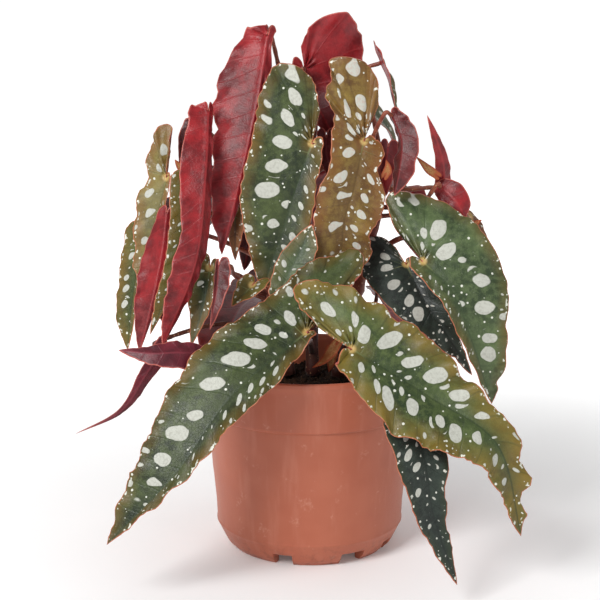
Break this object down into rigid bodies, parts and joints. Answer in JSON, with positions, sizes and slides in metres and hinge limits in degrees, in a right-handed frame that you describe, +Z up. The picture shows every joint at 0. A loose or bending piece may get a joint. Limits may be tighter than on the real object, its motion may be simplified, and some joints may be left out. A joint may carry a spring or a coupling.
{
  "type": "potted polka dot begonia",
  "caption": "Cane begonia with drooping, silver-spotted angel-wing leaves, red undersides and jointed stems, growing in soil in a plain plastic nursery pot.",
  "frame": {"origin": "middle of the pot's foot, on the surface it stands on", "axes": "+Z up the pot and the canes; -Y the front, where the two large drooping leaves fan out; +X to the right seen from the front"},
  "size_m": [0.2365, 0.2086, 0.2963],
  "materials": {
    "pot": "satin",
    "soil": "matte",
    "stem": "satin",
    "leaf": "satin",
    "bract": "matte"
  },
  "bodies": {
    "root": {"pot": "pot", "soil": "soil", "cane_left": "stem", "cane_middle": "stem", "cane_right": "stem", "front_left": "leaf", "front_right": "leaf", "right_big": "leaf", "right_back": "leaf", "centre_left": "leaf", "centre_right": "leaf", "centre_back": "leaf", "centre_low": "leaf", "mid_left": "leaf", "mid_ruffled": "leaf", "left_tall": "leaf", "left_mid": "leaf", "left_back": "leaf", "far_left_top": "leaf", "far_left_low": "leaf", "left_red": "leaf", "left_tail": "leaf", "left_flat": "leaf", "left_green": "leaf", "low_left_green": "leaf", "low_left_red": "leaf", "brown": "leaf", "upper_right_edge": "leaf", "upper_right_red": "leaf", "upper_right_low": "leaf", "right_narrow": "leaf", "right_red": "leaf", "right_edge": "leaf", "low_right": "leaf", "back_right": "leaf", "back_mid": "leaf", "back_left": "leaf", "back_low_right": "leaf", "back_low_left": "leaf", "side_right": "leaf", "inner_left": "leaf", "bract_front": "bract", "bract_soil": "bract", "bract_left": "bract", "bract_right": "bract", "bract_upper": "bract", "bract_side": "bract"}
  },
  "joints": []
}
